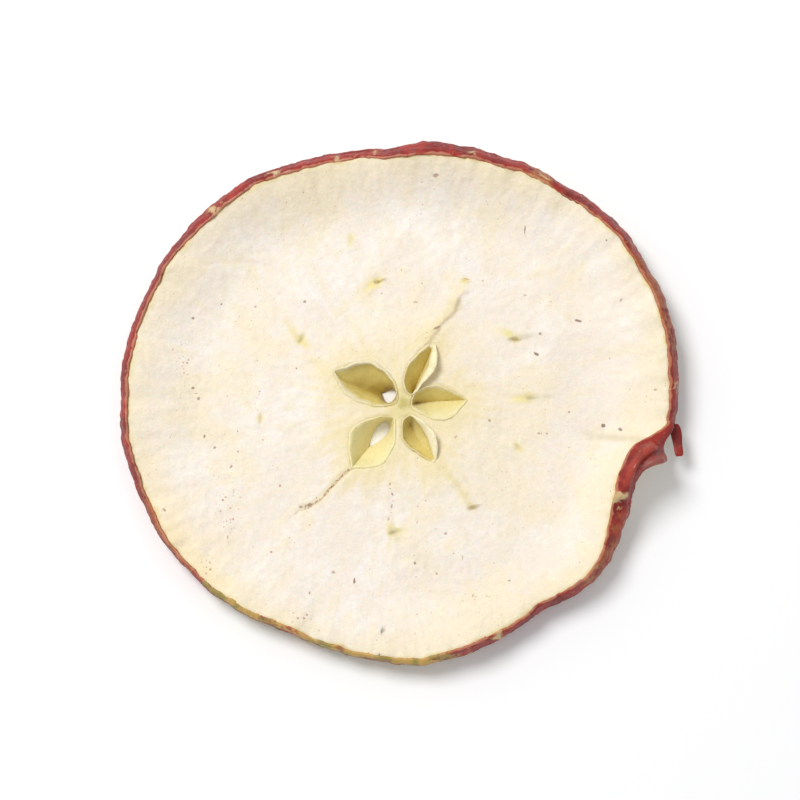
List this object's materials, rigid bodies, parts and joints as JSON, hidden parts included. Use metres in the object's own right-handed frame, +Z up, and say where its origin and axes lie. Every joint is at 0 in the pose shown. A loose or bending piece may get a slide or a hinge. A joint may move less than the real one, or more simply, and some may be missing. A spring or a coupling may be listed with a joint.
{
  "type": "dried apple slice",
  "caption": "Thin dried cross slice of a red apple: pale flesh, open seed cells at the core and a curled, wrinkled skin rim.",
  "frame": {"origin": "under the middle of the slice, on the surface it rests on", "axes": "+X along the slice's longest width, +Y away from the picture's near side, +Z up through the cut face"},
  "size_m": [0.0704, 0.0662, 0.0072],
  "materials": {
    "flesh": "dry, finely wrinkled, matte cream fruit flesh",
    "skin": "wrinkled satin fruit skin, dark red to olive gold",
    "core": "thin papery seed-cell walls, pale straw to olive"
  },
  "bodies": {
    "root": {"apple_slice": "flesh"}
  },
  "joints": []
}
